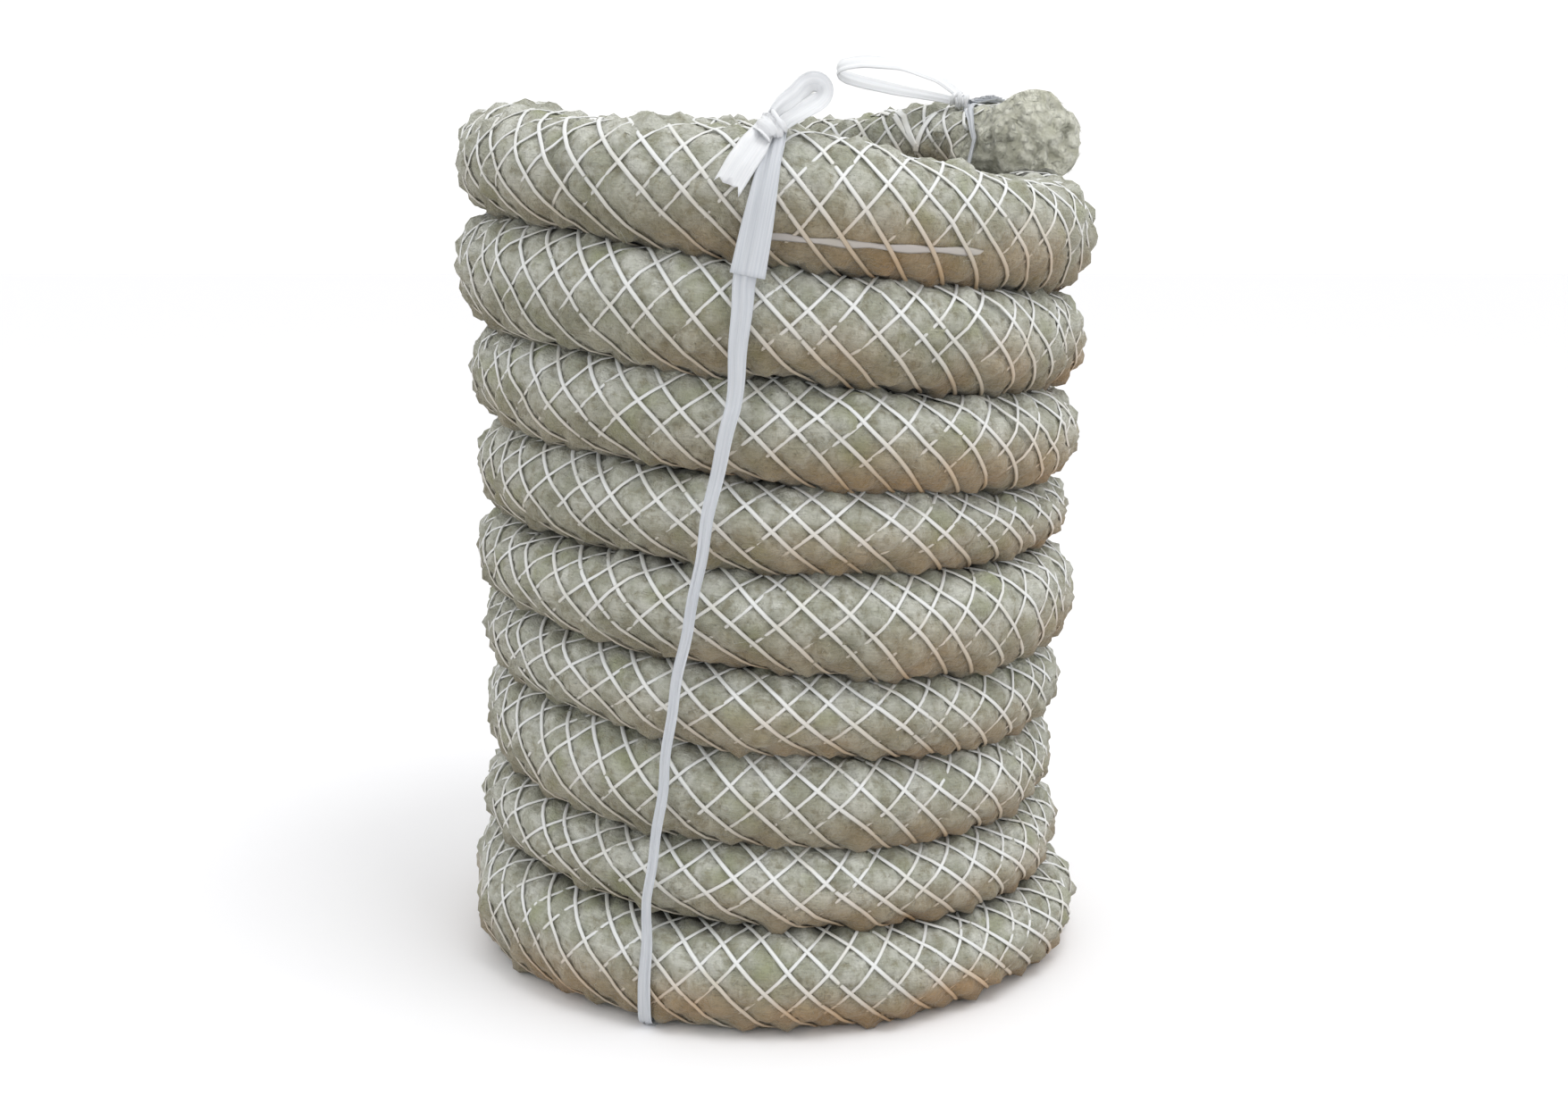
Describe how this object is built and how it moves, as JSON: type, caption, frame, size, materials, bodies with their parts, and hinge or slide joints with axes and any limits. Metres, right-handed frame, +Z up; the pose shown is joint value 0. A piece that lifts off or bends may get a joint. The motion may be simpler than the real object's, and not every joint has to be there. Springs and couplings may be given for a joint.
{
  "type": "coiled rope",
  "caption": "Thick wool-filled rope in an open white net, wound as a standing coil and tied with flat film tape.",
  "frame": {"origin": "on the coil's axis, in the plane that it rests on", "axes": "+Z up along the coil's axis, -Y towards the front tie, +X towards the side where the top end lies"},
  "size_m": [0.266, 0.2737, 0.4075],
  "materials": {
    "wool": "matte",
    "net": "satin",
    "tracer": "satin",
    "tape": "satin"
  },
  "bodies": {
    "root": {"wool_core": "wool", "net_jacket": "net", "tracer_yarn": "tracer", "front_tie_band": "tape", "front_tie_knot": "tape", "front_tie_bow": "tape", "front_tie_long_tail": "tape", "front_tie_short_tail": "tape", "back_tie_band": "tape", "back_tie_knot": "tape", "back_tie_bow": "tape", "back_tie_tail": "tape"}
  },
  "joints": []
}
